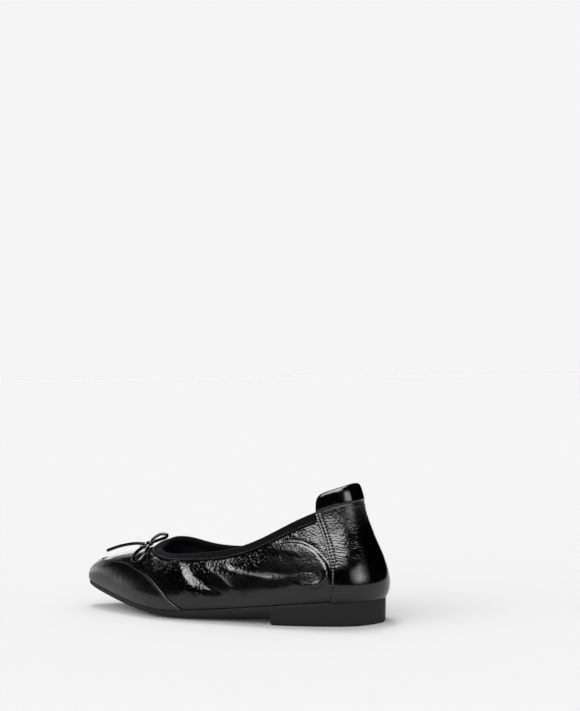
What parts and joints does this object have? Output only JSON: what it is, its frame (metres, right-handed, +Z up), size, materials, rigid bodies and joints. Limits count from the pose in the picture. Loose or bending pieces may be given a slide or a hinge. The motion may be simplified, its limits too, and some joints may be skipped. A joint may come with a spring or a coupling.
{
  "type": "ballet flat shoe",
  "caption": "Low pointed slip-on shoe for the left foot, with a moulded sole and low heel, an elastic bound topline, a toe cap, a heel counter with a padded tab, and a small bow.",
  "frame": {"origin": "middle of the heel's floor face, on the floor", "axes": "toe towards -X, outer (lateral) side towards -Y, +Z up"},
  "size_m": [0.2438, 0.0834, 0.0972],
  "materials": {
    "patent_leather": "crinkled gloss patent",
    "moulded_rubber": "matt moulded",
    "elastic_tape": "matt woven elastic",
    "insole_lining": "matt textile sock"
  },
  "bodies": {
    "root": {"outsole": "moulded_rubber", "insole": "insole_lining", "upper": "patent_leather", "toe_cap": "patent_leather", "heel_counter": "patent_leather", "heel_tab": "patent_leather", "topline_binding": "elastic_tape", "bow_knot": "patent_leather", "bow_loop_lateral": "patent_leather", "bow_loop_medial": "patent_leather", "bow_end_lateral": "patent_leather", "bow_end_medial": "patent_leather"}
  },
  "joints": []
}
